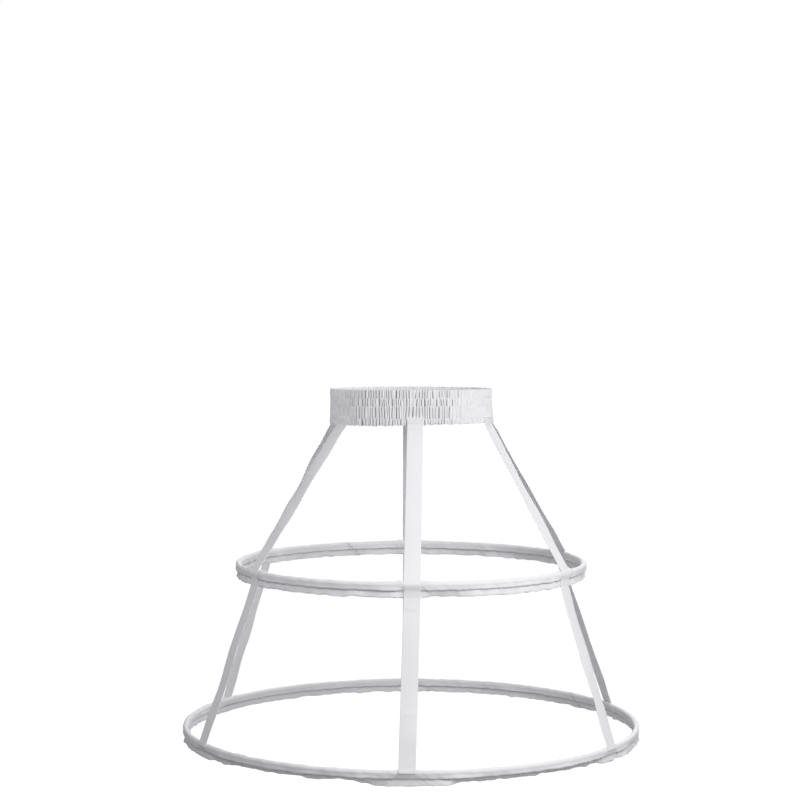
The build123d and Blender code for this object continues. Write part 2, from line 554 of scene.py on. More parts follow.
def dress(piece: Piece, material: Material | None, slot: Slot, *nodes: str) -> Piece:
    """Finishes a piece, fixes it to the cage and lets it stand for its solids.

    Args:
        piece: The piece.
        material: Its material, if it hasn't one yet.
        slot: The record's finish. Not used.
        nodes: The solids that it stands for.

    Returns:
        The piece.
    """
    if material:
        piece.data.materials.clear()
        piece.data.materials.append(material)
    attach(piece, BODY)
    if nodes:
        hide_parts(*nodes)
    LOG.info("%s: %d faces", piece.name, len(piece.data.polygons))
    return piece


@dataclass
class SewnLine:
    """A line on the cloth for thread to follow.

    Attributes:
        points: The line's points.
        out: The direction away from the cloth at each point.
        down: The direction towards the cloth's edge at each point.
        closed: Whether the line goes round and closes.
    """

    points: Array
    out: Array
    down: Array
    closed: bool


def stitch_row(points: Array, out: Array) -> SewnLine:
    """A closed line of stitches just off the cloth, from its points and the directions away from it."""
    return SewnLine(points + out * THREAD_LIFT, out, np.tile(-UP, (len(points), 1)), True)


class ThreadTree(Nodes):
    """A Geometry Nodes tree that lays thread along lines, with named sizes."""

    ring_sides = 4

    def __init__(self, name: str, sizes: dict[str, float]) -> None:
        """Starts a tree that takes lines, the named sizes, a seed and a material.

        Args:
            name: The tree's name.
            sizes: The name and the value of each size.
        """
        super().__init__(bpy.data.node_groups.new(name, "GeometryNodeTree"))
        self.sizes = sizes
        kinds = {"Lines": "Geometry", **dict.fromkeys(sizes, "Float"), "Seed": "Int", "Thread": "Material"}
        face = self.tree.interface
        for key, kind in kinds.items():
            face.new_socket(name=key, in_out="INPUT", socket_type="NodeSocket" + kind)
        face.new_socket(name="Sewing", in_out="OUTPUT", socket_type="NodeSocketGeometry")
        self.inputs = self.tree.nodes.new("NodeGroupInput").outputs
        self.result = self.tree.nodes.new("NodeGroupOutput").inputs[0]

    def scaled(self, vector: object, length: object) -> Socket:
        """Adds a node that scales a vector and returns its output."""
        links = {"0": vector, "Scale": length}
        return self.node("ShaderNodeVectorMath", links, operation="SCALE").outputs[0]

    def vector(self, x: object, y: object, z: object) -> Socket:
        """Adds a node that makes a vector and returns its output."""
        return self.node("ShaderNodeCombineXYZ", {"0": x, "1": y, "2": z}).outputs[0]

    def stored(self, name: str) -> Socket:
        """Adds a node that reads a direction stored on the lines and returns its output."""
        kind = "GeometryNodeInputNamedAttribute"
        return self.node(kind, {"Name": name}, data_type="FLOAT_VECTOR").outputs[0]

    def resampled(self, step: object) -> Socket:
        """Adds nodes that turn the lines to curves with even steps.

        Args:
            step: The length of a step.

        Returns:
            The curves.
        """
        curve = self.node("GeometryNodeMeshToCurve", {"Mesh": self.inputs["Lines"]}).outputs[0]
        links = {"Curve": curve, "Length": step}
        return self.node("GeometryNodeResampleCurve", links, mode="LENGTH").outputs[0]

    def swept(self, curve: Socket, caps: bool) -> Socket:
        """Adds nodes that make thread of a curve.

        Args:
            curve: The curve.
            caps: Whether the thread's ends are closed.

        Returns:
            The thread's mesh.
        """
        radius = self.math("MULTIPLY", self.inputs["Thickness"], 0.5)
        links = {"Resolution": self.ring_sides, "Radius": radius}
        ring = self.node("GeometryNodeCurvePrimitiveCircle", links).outputs[0]
        links = {"Curve": curve, "Profile Curve": ring, "Fill Caps": caps}
        return self.node("GeometryNodeCurveToMesh", links).outputs[0]

    def finish(self, geometry: Socket) -> None:
        """Ends the tree: real meshes, smooth, with the thread's material.

        Args:
            geometry: The thread.
        """
        real = self.node("GeometryNodeRealizeInstances", {"Geometry": geometry}).outputs[0]
        soft = self.node("GeometryNodeSetShadeSmooth", {"Geometry": real}).outputs[0]
        links = {"Geometry": soft, "Material": self.inputs["Thread"]}
        self.tree.links.new(self.node("GeometryNodeSetMaterial", links).outputs[0], self.result)

    def sew(self, name: str, lines: list[SewnLine], thread: Material, slot: Slot, seed: int) -> Piece:
        """Lays thread along lines.

        Args:
            name: The new piece's name.
            lines: The lines to follow.
            thread: The thread's material.
            slot: The record's finish.
            seed: Picks the unevenness of the thread.

        Returns:
            The sewing, dressed, as a plain mesh.
        """
        points, edges = [], []
        for line in lines:
            first = sum(len(p) for p in points)
            order = np.arange(len(line.points)) + first
            points.append(line.points)
            edges.append(np.stack([order[:-1], order[1:]], -1))
            if line.closed:
                edges.append(np.array([[order[-1], order[0]]]))
        mesh = bpy.data.meshes.new(name + "_lines")
        mesh.from_pydata(np.concatenate(points).tolist(), np.concatenate(edges).tolist(), [])
        for key in ("out", "down"):
            values = np.concatenate([getattr(line, key) for line in lines]).astype(np.float32)
            mesh.attributes.new(key, "FLOAT_VECTOR", "POINT").data.foreach_set("vector", values.ravel())
        guide = bpy.data.objects.new(name + "_guide", mesh)
        bpy.context.scene.collection.objects.link(guide)
        modifier = guide.modifiers.new("sewing", "NODES")
        modifier.node_group = self.tree
        values = {**self.sizes, "Seed": seed, "Thread": thread}
        for socket in self.tree.interface.items_tree:
            if socket.name in values:
                modifier[socket.identifier] = values[socket.name]
        seen = guide.evaluated_get(bpy.context.evaluated_depsgraph_get())
        made = bpy.data.meshes.new_from_object(seen)
        made.name = name
        guide.modifiers.remove(modifier)
        bpy.data.objects.remove(guide)
        piece = bpy.data.objects.new(name, made)
        bpy.context.scene.collection.objects.link(piece)
        return dress(piece, None, slot)


class RunningStitch(ThreadTree):
    """A row of single stitches, each a low arch of thread."""

    arch_steps = 4
    least_scale = (0.85, 0.9, 0.7)
    most_scale = (1.08, 1.15, 1.25)

    def __init__(self, pitch: float, length: float, thickness: float, arch: float) -> None:
        """Makes the tree.

        Args:
            pitch: The distance from one stitch to the next.
            length: The length of a stitch.
            thickness: The thickness of the thread.
            arch: The height of a stitch's middle.
        """
        sizes = {"Pitch": pitch, "Length": length, "Thickness": thickness, "Arch": arch}
        super().__init__("running_stitch", sizes)
        half = self.math("MULTIPLY", self.inputs["Length"], 0.5)
        # The arch reaches half the height of its middle handle.
        links = {
            "Resolution": self.arch_steps,
            "Start": self.vector(self.math("MULTIPLY", half, -1.0), 0.0, 0.0),
            "Middle": self.vector(0.0, 0.0, self.math("MULTIPLY", self.inputs["Arch"], 2.0)),
            "End": self.vector(half, 0.0, 0.0),
        }
        stitch = self.swept(self.node("GeometryNodeCurveQuadraticBezier", links).outputs[0], True)
        tangent = self.node("GeometryNodeInputTangent").outputs[0]
        links = {"Primary Axis": tangent, "Secondary Axis": self.stored("out")}
        turned = self.node("FunctionNodeAxesToRotation", links, primary_axis="X", secondary_axis="Z")
        links = {"Seed": self.inputs["Seed"], "Min": self.least_scale, "Max": self.most_scale}
        uneven = self.node("FunctionNodeRandomValue", links, data_type="FLOAT_VECTOR")
        links = {
            "Points": self.resampled(self.inputs["Pitch"]),
            "Instance": stitch,
            "Rotation": turned.outputs[0],
            "Scale": uneven.outputs[0],
        }
        self.finish(self.node("GeometryNodeInstanceOnPoints", links).outputs[0])


class OverlockEdge(ThreadTree):
    """Thread that winds round the raw edge of a cloth."""

    loop_steps = 7.0
    uneven_scale = 160.0
    uneven_turn = 1.2
    squareness = 1.7
    stand_off = 0.4

    def __init__(self, pitch: float, reach: float, cloth: float, thickness: float) -> None:
        """Makes the tree.

        Args:
            pitch: The distance from one loop to the next.
            reach: How far the loops reach up the cloth.
            cloth: The thickness of the cloth.
            thickness: The thickness of the thread.
        """
        sizes = {"Pitch": pitch, "Reach": reach, "Cloth": cloth, "Thickness": thickness}
        super().__init__("overlock_edge", sizes)
        pitch_in, reach_in, cloth_in, thick_in = (self.inputs[key] for key in sizes)
        curve = self.resampled(self.math("DIVIDE", pitch_in, self.loop_steps))
        length = self.node("GeometryNodeSplineParameter").outputs["Length"]
        links = {"W": self.math("MULTIPLY", length, self.uneven_scale)}
        uneven = self.node("ShaderNodeTexNoise", links, noise_dimensions="1D").outputs[0]
        loops = self.math("ADD", self.math("DIVIDE", length, pitch_in), self.inputs["Seed"])
        phase = self.math("MULTIPLY_ADD", loops, TAU, self.math("MULTIPLY", uneven, self.uneven_turn))
        side = self.math("MULTIPLY", self.math("COSINE", phase), self.squareness)
        side = self.node("ShaderNodeClamp", {"Value": side, "Min": -1.0, "Max": 1.0}).outputs[0]
        stand_off = self.math("MULTIPLY", thick_in, self.stand_off)
        out = self.math("MULTIPLY", side, self.math("MULTIPLY_ADD", cloth_in, 0.5, stand_off))
        rise = self.math("MULTIPLY_ADD", self.math("SINE", phase), 0.5, 0.5)
        climb = self.math("MULTIPLY", rise, self.math("ADD", reach_in, thick_in))
        up = self.math("SUBTRACT", climb, thick_in)
        links = {"0": self.scaled(self.stored("out"), out), "1": self.scaled(self.stored("down"), up)}
        offset = self.node("ShaderNodeVectorMath", links, operation="SUBTRACT").outputs[0]
        moved = self.node("GeometryNodeSetPosition", {"Geometry": curve, "Offset": offset}).outputs[0]
        self.finish(self.swept(moved, False))


@dataclass(frozen=True)
class TapeRoute:
    """Where a tape crosses the waistband and the two hoops, and its faint cross creases.

    Attributes:
        node: The tape's name.
        waist: The azimuth at the waistband.
        upper: The azimuth at the upper hoop.
        lower: The azimuth at the lower hoop.
        bow: How far the ribbon bulges out below the waistband.
        creases: The height, lift in millimetres and slant of each crease.
    """

    node: str
    waist: float
    upper: float
    lower: float
    bow: float
    creases: tuple[tuple[float, float, float], ...]


ROUTES = (
    TapeRoute(
        "tape_front", 3.5, 0.0, -1.2, 0.8 * MM,
        ((-0.256, 0.35, 0.1), (-0.261, -0.25, 0.1), (-0.385, 0.3, -0.15)),
    ),
    TapeRoute(
        "tape_front_right", 74.0, 57.5, 55.5, 1.2 * MM, ((-0.335, 0.35, 0.3), (-0.095, -0.25, 0.2)),
    ),
    TapeRoute(
        "tape_back_right", 103.0, 115.0, 114.0, 2.5 * MM, ((-0.15, 0.3, -0.2), (-0.36, -0.3, 0.2)),
    ),
    TapeRoute("tape_back", 180.0, 180.0, 180.0, 1.0 * MM, ((-0.12, 0.3, 0.2), (-0.31, 0.3, -0.1))),
    TapeRoute(
        "tape_back_left", -104.0, -119.5, -121.0, 1.5 * MM, ((-0.17, -0.3, 0.1), (-0.4, 0.3, 0.2)),
    ),
    TapeRoute(
        "tape_front_left", -64.0, -60.0, -60.5, 3.0 * MM,
        ((-0.077, 0.35, 0.3), (-0.095, 0.3, 0.25), (-0.34, -0.25, 0.1)),
    ),
)


@dataclass
class Oval:
    """The waistband's oval where the gathers are lowest.

    Attributes:
        width: Half the oval's width.
        depth: Half the oval's depth.
        pull: How far in millimetres the tapes pull the hem out at each azimuth.
        pulled: The heights where the pull starts and is full.
        fine_points: The points with which the oval's length is measured.
    """

    width: float
    depth: float
    pull: Table = ((-180, 0), (-120, 0), (-95, 0.5), (-60, 0.3), (30, 0), (72, 2.2), (100, 3.0), (145, 0))
    pulled: Span = (12 * MM, -24 * MM)
    fine_points: int = 4001

    def angle(self, azimuth: float) -> float:
        """The oval's own angle where a ray at an azimuth meets it."""
        ray = math.radians(azimuth)
        return math.atan2(math.sin(ray) * self.depth, math.cos(ray) * self.width)

    def azimuth(self, angle: Array) -> Array:
        """The azimuths of points at the oval's own angles."""
        return np.degrees(np.arctan2(self.width * np.sin(angle), self.depth * np.cos(angle)))

    def speed(self, angle: Array) -> Array:
        """The length of oval to a radian at its own angles."""
        return np.hypot(self.width * np.cos(angle), self.depth * np.sin(angle))

    def spaced(self, turn: Array) -> Array:
        """Spaces points evenly along the oval.

        Args:
            turn: Shares of the oval's length.

        Returns:
            The oval's own angle at each share.
        """
        fine = np.linspace(0, TAU, self.fine_points)
        step = self.speed((fine[1:] + fine[:-1]) / 2)
        length = np.concatenate([[0], np.cumsum(step)])
        return np.interp(turn, length / length[-1], fine)

    def out(self, angle: Array) -> Array:
        """Level directions away from the oval at its own angles."""
        return unit(np.stack([np.sin(angle) / self.width, -np.cos(angle) / self.depth, 0 * angle], -1))

    def points(self, angle: Array, rise: Array, height: Array) -> Array:
        """Places points outside the oval.

        Args:
            angle: The oval's own angle at each point.
            rise: How far each point is outside the oval.
            height: The height of each point.

        Returns:
            The points, with the hem pulled out.
        """
        level = np.stack([self.width * np.sin(angle), -self.depth * np.cos(angle), 0 * angle], -1)
        pull = read_round(self.pull, self.azimuth(angle)) * MM * smooth(*self.pulled, height)
        return level + self.out(angle) * (rise + pull)[..., None] + UP * height[..., None]


@dataclass
class Waistband:
    """The gathered cloth band with its stitch rows and ruffled hem.

    Attributes:
        size: Half the band's width and half its depth, over the gathers.
        rise: How far the fullest gathers stand out.
        cloth: The thickness of the cloth.
        gathers: The number of gathers round the band.
        columns: The points round the band.
        levels: The even rows of points down its outside.
        beside: How far from a stitch row the rows of points beside it lie.
        inner_shares: The rows of points inside, in shares of half the band's height.
        rim_shares: The rows of points on an edge, in shares of the way over it.
        rim_bulge: How far the top edge and the hem round out, in shares of the cloth's thickness.
        stitch_drops: How far each stitch row lies below the top.
        fullness: How full the gathers are at each azimuth.
        droop: How much lower in millimetres the hem hangs at each azimuth.
        elastic_span: The heights between which the elastic backs the cloth.
        elastic_rise: Where the cloth's inside lies on the elastic.
        valley_floor: Where the deepest folds meet the elastic.
        middle: The share of the rise about which the gathers go up and down.
        crown: How far a gather's crown goes up.
        valley: How far a fold goes down.
        sharpness: How narrow the folds are.
        usual_size: The size about which the gathers differ.
        size_limits: The size of the smallest and of the largest gathers.
        border: How far past the band's edges its outer gathers are reckoned.
        edge_loss: How much less full the gathers are at the top edge, and from how far below it.
        pinch_loss: How much less full they are at a stitch row.
        press_loss: How much less full they are under a tape's end.
        press_reach: How far from a tape's middle its press ends, and is full.
        press_heights: The heights at which a tape's press starts, and is full.
        pinch_width: How far from a stitch row the cloth is pinched.
        pinch_sink: How far a stitch row sinks in.
        shaded: The rise at which painted shade starts in the gathers' valleys, and at which it is darkest.
        drift: The unevenness of the gathers from top to hem.
        shift: The unevenness of the gathers between two stitch rows.
        slant: How the gathers lean between two stitch rows.
        uneven: The unevenness of the gathers' size.
        fine: The fine wrinkles where the gathers are flat.
        hem_wave: The waves of the hem in millimetres.
        top_wave: The waves of the top edge.
    """

    size: Span = (0.116, 0.088)
    rise: float = 2.2 * MM
    cloth: float = 0.75 * MM
    gathers: int = 156
    columns: int = 2240
    levels: int = 22
    beside: float = 0.8 * MM
    inner_shares: tuple[float, ...] = (1.0, 0.93, 0.85, 0.0, -0.74, -0.84, -1.0)
    rim_shares: Span = (0.25, 0.75)
    rim_bulge: Span = (0.5, 0.4)
    stitch_drops: tuple[float, ...] = (40.0 * MM, 22.8 * MM, 11.8 * MM)
    fullness: Table = (
        (-180, 1), (-95, 0.85), (-78, 0.6), (-58, 0.7), (-45, 1), (28, 1), (38, 0.6), (48, 0.35), (78, 0.35),
        (98, 0.85),
    )
    droop: Table = ((-180, 0), (-75, 1.6), (-35, 1.8), (-10, 0.6), (30, -0.6), (70, -0.8), (110, 0))
    elastic_span: Span = (-18.5 * MM, 21.5 * MM)
    elastic_rise: float = -0.9 * MM
    valley_floor: float = -0.55 * MM
    middle: float = 0.62
    crown: float = 0.34
    valley: float = 1.6
    sharpness: float = 3.4
    usual_size: float = 0.72
    size_limits: Span = (0.15, 1.15)
    border: float = 9 * MM
    edge_loss: Span = (0.35, 4 * MM)
    pinch_loss: float = 0.45
    press_loss: float = 0.8
    press_reach: Span = (15 * MM, 11.5 * MM)
    press_heights: Span = (-11 * MM, -14.5 * MM)
    pinch_width: float = 1.3 * MM
    pinch_sink: float = 0.28 * MM
    shaded: Span = (0.55 * MM, -0.45 * MM)
    drift: Ripple = Ripple(11, 4, 30, 1.2)
    shift: Ripple = Ripple(21, 6, 50)
    slant: Ripple = Ripple(31, 5, 40, 1.1)
    uneven: Ripple = Ripple(41, 40, 150, 0.32)
    fine: Ripple = Ripple(51, 220, 330, 0.08)
    hem_wave: Ripple = Ripple(61, 20, 80, 0.4)
    top_wave: Ripple = Ripple(62, 30, 120, 0.12 * MM)
    lines: list[SewnLine] = field(default_factory=list)

    def __post_init__(self) -> None:
        """Reads the band's height from its solid."""
        self.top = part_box("waistband")[1].z
        self.oval = Oval(self.size[0] - self.rise, self.size[1] - self.rise)
        self.rows = [self.top - drop for drop in self.stitch_drops]

    def gather(self, turn: Array, height: Array) -> Array:
        """How far the cloth stands out from the oval.

        Args:
            turn: Shares of the way round.
            height: Heights, of the same shape.

        Returns:
            The rise of the cloth at each place.
        """
        azimuth = self.oval.azimuth(self.oval.spaced(turn))
        fullness = read_round(self.fullness, azimuth)
        beyond = self.top + self.border
        borders = [-beyond, *self.rows, beyond]
        base = TAU * self.gathers * turn + self.drift.at(turn)
        total = np.zeros_like(height)
        for zone, (low, high) in enumerate(zip(borders, borders[1:])):
            share = smooth(low - MM, low + MM, height) - smooth(high - MM, high + MM, height)
            slant = self.slant.at(turn, zone) * (height - (low + high) / 2) / (high - low)
            phase = base + self.shift.at(turn, zone) + slant
            valley = (0.5 - 0.5 * np.cos(phase)) ** self.sharpness
            size = np.clip(self.usual_size + self.uneven.at(turn, zone), *self.size_limits)
            total += share * (self.crown * size - self.valley * size * valley)
        pinch = np.clip(sum(bell(height - row, self.pinch_width) for row in self.rows), 0, 1)
        covered = sum(self.under_tape(azimuth, height, route) for route in ROUTES)
        loss, reach = self.edge_loss
        edge = 1 - loss * smooth(self.top - reach, self.top, height)
        full = fullness * (1 - self.pinch_loss * pinch) * (1 - self.press_loss * covered) * edge
        fine = self.fine.at(turn) * (1 - fullness) * (1 - pinch)
        rise = self.rise * (self.middle + total * full + fine) - self.pinch_sink * pinch * (1 - covered)
        return np.maximum(rise, self.valley_floor)

    def under_tape(self, azimuth: Array, height: Array, route: TapeRoute) -> Array:
        """Finds where a tape's end presses on the band.

        Args:
            azimuth: The azimuth of each place.
            height: The height of each place.
            route: The tape's route.

        Returns:
            How much of the press each place has, from 0 to 1.
        """
        radius = math.hypot(self.oval.width, self.oval.depth) / math.sqrt(2)
        reach = np.abs(np.radians(turn_apart(azimuth, route.waist)) * radius)
        return smooth(*self.press_reach, reach) * smooth(*self.press_heights, height)

    def build(self, wardrobe: Wardrobe) -> Piece:
        """Makes the band.

        Args:
            wardrobe: The materials.

        Returns:
            The band's piece.
        """
        turn = np.arange(self.columns) / self.columns
        angle = self.oval.spaced(turn)
        near_rows = [row + step for row in self.rows for step in (-self.beside, 0.0, self.beside)]
        even = np.linspace(-self.top, self.top, self.levels)
        outer_heights = np.unique(np.concatenate([even, near_rows]))
        inner_heights = np.array(self.inner_shares) * self.top
        droop = read_round(self.droop, self.oval.azimuth(angle)) + self.hem_wave.at(turn)

        def placed(heights: Array, rise: Array) -> Array:
            """Places rows of the band, with the hem let down.

            Args:
                heights: The height of each row.
                rise: How far each point is outside the oval.

            Returns:
                The rows of points.
            """
            fall = smooth(self.rows[0], -self.top, heights)[:, None] * droop * MM
            lift = smooth(self.rows[2], self.top, heights)[:, None] * self.top_wave.at(turn)
            level = heights[:, None] - fall + lift
            return self.oval.points(np.broadcast_to(angle, level.shape), rise, level)

        def rim(start: Array, end: Array, bulge: Array) -> Array:
            """Two rows of points that round an edge."""
            rows = [start + (end - start) * s + bulge * math.sin(math.pi * s) for s in self.rim_shares]
            return np.array(rows)

        outer_rise = self.gather(*np.meshgrid(turn, outer_heights))
        outer = placed(outer_heights, outer_rise)
        turns, levels = np.meshgrid(turn, inner_heights)
        low, high = self.elastic_span
        backed = smooth(low - MM, low + MM, levels) * smooth(high + MM, high - MM, levels)
        free_rise = self.gather(turns, levels) - self.cloth
        inner = placed(inner_heights, backed * self.elastic_rise + (1 - backed) * free_rise)
        top_bulge, hem_bulge = (UP * self.cloth * share for share in self.rim_bulge)
        top_rim = rim(outer[-1], inner[0], top_bulge)
        hem_rim = rim(inner[-1], outer[0], -hem_bulge)
        points = np.concatenate([outer, top_rim, inner, hem_rim])
        out = self.oval.out(angle)
        self.lines += [stitch_row(outer[nearest(outer_heights, row)], out) for row in self.rows]
        # Painted shade, darkest in the deepest valleys of the gathers, on the outside only.
        painted_shade = np.zeros(points.shape[:2])
        painted_shade[: len(outer)] = smooth(*self.shaded, outer_rise)
        along = np.linspace(0, BAND_FLAT[1], self.columns + 1)
        piece = cloth_piece("waistband_cloth", points, along, girth(points), painted_shade)
        return dress(piece, wardrobe.cotton, Slot.COTTON, "waistband")


@dataclass
class WaistElastic:
    """The wide ribbed elastic on the inside of the waistband.

    Attributes:
        thickness: The elastic's thickness.
        ribs: The number of ribs down the elastic.
        rib_steps: The rows of points to a rib.
        relief: The height of a rib.
        columns: The points round the elastic.
        outer_rows: The rows of points on its outside.
        inset: How far inside its oval the ribs' hollows lie.
        stitch_heights: The heights of the stitch rows that hold it to the band.
        pinch_width: How far from a stitch row it is pinched.
        pinch: How far a stitch row sinks in.
        wrinkle: Its faint wrinkles.
    """

    thickness: float = 1.5 * MM
    ribs: int = 20
    rib_steps: int = 4
    relief: float = 0.22 * MM
    columns: int = 240
    outer_rows: int = 7
    inset: float = 0.3 * MM
    stitch_heights: tuple[float, ...] = (-16.0 * MM, 1.2 * MM, 12.2 * MM)
    pinch_width: float = 1.2 * MM
    pinch: float = 0.35 * MM
    wrinkle: Ripple = Ripple(71, 60, 140, 0.12 * MM)
    lines: list[SewnLine] = field(default_factory=list)

    def build(self, wardrobe: Wardrobe) -> Piece:
        """Makes the elastic.

        Args:
            wardrobe: The materials.

        Returns:
            The elastic's piece.
        """
        low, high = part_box("waist_elastic")
        oval = Oval(high.x - self.thickness, high.y - self.thickness)
        turn = np.arange(self.columns) / self.columns
        angle = oval.spaced(turn)
        heights = np.linspace(high.z, low.z, self.ribs * self.rib_steps + 1)
        share = (heights - low.z) / (high.z - low.z)
        rib = self.relief * np.abs(np.sin(math.pi * self.ribs * share))
        pinch = sum(bell(heights - row, self.pinch_width) for row in self.stitch_heights) * self.pinch
        inner_rise = (self.inset - rib + pinch)[:, None] + self.wrinkle.at(turn)
        outer_heights = np.linspace(low.z, high.z, self.outer_rows)
        outer_rise = np.full((self.outer_rows, self.columns), self.thickness)
        inner, outer = (
            oval.points(np.broadcast_to(angle, rise.shape), rise, np.tile(levels[:, None], self.columns))
            for rise, levels in ((inner_rise, heights), (outer_rise, outer_heights))
        )
        points = np.concatenate([inner, outer])
        out = -oval.out(angle)
        self.lines += [stitch_row(inner[nearest(heights, row)], out) for row in self.stitch_heights]
        along = np.linspace(0, ELASTIC_FLAT[1], self.columns + 1)
        piece = cloth_piece("waist_elastic_band", points, along, girth(points))
        return dress(piece, wardrobe.elastic, Slot.ELASTIC, "waist_elastic")


@dataclass
class Hoop:
    """A hoop's bone as the solids have it, and the round tube of cloth on it.

    Attributes:
        name: The hoop's name.
        bone: Half the bone's thickness.
        cloth: The thickness of the casing's cloth.
        tube: The outside radius of the casing's tube.
        stitch_drop: How far the stitch line lies below the middle of the bone.
        hem: The height of the hem below the stitch line.
        layer: How far the middle of each layer lies from the middle of the hem.
        belly: How far the slack cloth bulges between the bone and the stitch line.
    """

    name: str
    bone: float = 0.8 * MM
    cloth: float = 0.7 * MM
    tube: float = 3.926 * MM
    stitch_drop: float = 7.5 * MM
    hem: float = 8.8 * MM
    layer: float = 0.5 * MM
    belly: float = 1.7 * MM

    def __post_init__(self) -> None:
        """Reads the bone's ring from its solid."""
        low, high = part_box(self.name + "_bone")
        self.radius = (high.x - low.x) / 2 - self.bone
        self.height = (low.z + high.z) / 2

    def direct(self, azimuth: Array, x: Array, z: Array) -> Array:
        """Directions at azimuths in radians, from parts out from the axis and up."""
        return rays(azimuth) * x[..., None] + UP * z[..., None]

    def place(self, azimuth: Array, x: Array, z: Array) -> Array:
        """Points at azimuths in radians, out from and up from the middle of the bone."""
        return self.direct(azimuth, self.radius + x, self.height + z)


@dataclass(frozen=True)
class Sway:
    """An unevenness of the sewing along a hoop.

    Attributes:
        kind: Picks it among the others.
        shortest: The shortest wavelength.
        longest: The longest wavelength.
        height: About how high it is.
    """

    kind: int
    shortest: float
    longest: float
    height: float


HEM_SHARES = (0.0, 0.08, 0.3, 0.55, 0.8, 0.93, 1.0)
FLANK_SHARES = (0.06, 0.14, 0.26, 0.42, 0.6, 0.8, 1.0)
TUBE_SHARES = (0.14, 0.3, 0.46, 0.62, 0.78, 0.92)
STITCH_ROW = len(HEM_SHARES) - 1
BULGE_PEAK = 27 / 4


